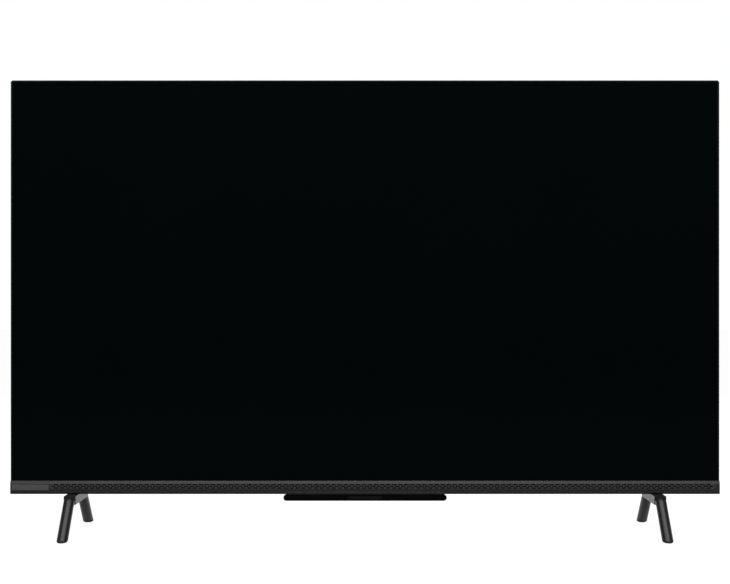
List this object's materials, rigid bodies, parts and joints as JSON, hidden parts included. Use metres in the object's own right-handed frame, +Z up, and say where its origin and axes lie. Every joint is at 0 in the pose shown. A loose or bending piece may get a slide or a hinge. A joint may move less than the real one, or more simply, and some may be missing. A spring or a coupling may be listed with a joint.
{
  "type": "flat screen television",
  "caption": "Wide flat screen television with a thin black bezel, a dark grille chin with a glossy sensor bar under it, a deeper rear housing and bent-tube legs.",
  "frame": {"origin": "on the floor, below the middle of the stand", "axes": "+X to the right as seen from the front, +Y to the back, +Z up"},
  "size_m": [1.233, 0.2724, 0.7886],
  "materials": {
    "screen_glass": "matte anti-glare, near black",
    "bezel_black": "satin black",
    "chin_grey": "satin dark grey",
    "grille_grey": "satin dark grey",
    "badge_metal": "dark satin, bare",
    "gloss_black": "glossy black",
    "sensor_window": "dark tinted",
    "button_grey": "satin",
    "cover_black": "fine grained black",
    "frame_grey": "matte",
    "film_white": "diffuse white",
    "lens_clear": "clear",
    "strip_white": "white solder mask",
    "steel": "zinc plated",
    "socket_steel": "nickel plated",
    "socket_black": "matte black",
    "pin_brass": "plated",
    "board_green": "solder mask",
    "board_blue": "solder mask",
    "board_tan": "bare laminate",
    "heat_sink": "extruded",
    "capacitor_sleeve": "shrink sleeve",
    "coil_tape": "tape",
    "flex_copper": "amber film",
    "ribbon_white": "flat cable",
    "wire_black": "insulated wire",
    "cone_paper": "coated",
    "rubber_black": "matte",
    "leg_metal": "satin dark grey"
  },
  "bodies": {
    "cabinet": {"lcd_panel": "screen_glass", "bezel_frame": "bezel_black", "chin_cover": "chin_grey", "grille_strip": "grille_grey", "badge_plate": "badge_metal", "sensor_bar": "gloss_black", "sensor_bar_lid": "gloss_black", "sensor_window": "sensor_window", "rear_cover": "cover_black", "terminal_plate": "cover_black", "left_speaker_box": "cover_black", "right_speaker_box": "cover_black", "mid_frame": "frame_grey", "optical_films": "film_white", "diffuser_plate": "film_white", "reflector_sheet": "film_white", "diffuser_pins": "film_white", "led_lenses": "lens_clear", "led_strips": "strip_white", "back_pan": "steel", "board_standoffs": "steel", "board_screws": "steel", "wall_mount_rails": "steel", "wall_mount_posts": "steel", "leg_brackets": "steel", "cover_screws": "steel", "leg_screws": "steel", "speaker_drivers": "steel", "hdmi_sockets": "socket_steel", "usb_sockets": "socket_steel", "lan_socket": "socket_steel", "aerial_socket": "socket_steel", "sound_sockets": "socket_black", "mains_inlet": "socket_black", "tact_switch": "socket_black", "inlet_pins": "pin_brass", "main_board": "board_green", "sensor_board": "board_green", "radio_module": "board_green", "tcon_board": "board_blue", "source_boards": "board_blue", "power_board": "board_tan", "soc_heatsink": "heat_sink", "power_heatsinks": "heat_sink", "bulk_capacitors": "capacitor_sleeve", "transformers": "coil_tape", "panel_flexes": "flex_copper", "signal_ribbons": "ribbon_white", "wire_harness": "wire_black", "left_surround": "rubber_black", "right_surround": "rubber_black", "speaker_grommets": "rubber_black", "foot_pads": "rubber_black", "left_leg": "leg_metal", "right_leg": "leg_metal", "leg_clamps": "leg_metal"},
    "power_button": {"power_button": "button_grey"},
    "mic_slider": {"mic_slider": "button_grey"},
    "left_cone": {"left_cone": "cone_paper"},
    "right_cone": {"right_cone": "cone_paper"}
  },
  "joints": [
    {"name": "power_button_press", "type": "slide", "parent": "cabinet", "child": "power_button", "axis": [0, 0, 1], "range_m": [0, 0.0008], "stiffness_N_per_m": 800},
    {"name": "mic_slider_slide", "type": "slide", "parent": "cabinet", "child": "mic_slider", "axis": [1, 0, 0], "range_m": [0, 0.003]},
    {"name": "left_cone_travel", "type": "slide", "parent": "cabinet", "child": "left_cone", "axis": [0, 0, 1], "range_m": [-0.0015, 0.0015], "stiffness_N_per_m": 900, "deforming": ["left_surround"]},
    {"name": "right_cone_travel", "type": "slide", "parent": "cabinet", "child": "right_cone", "axis": [0, 0, 1], "range_m": [-0.0015, 0.0015], "stiffness_N_per_m": 900, "deforming": ["right_surround"]}
  ]
}
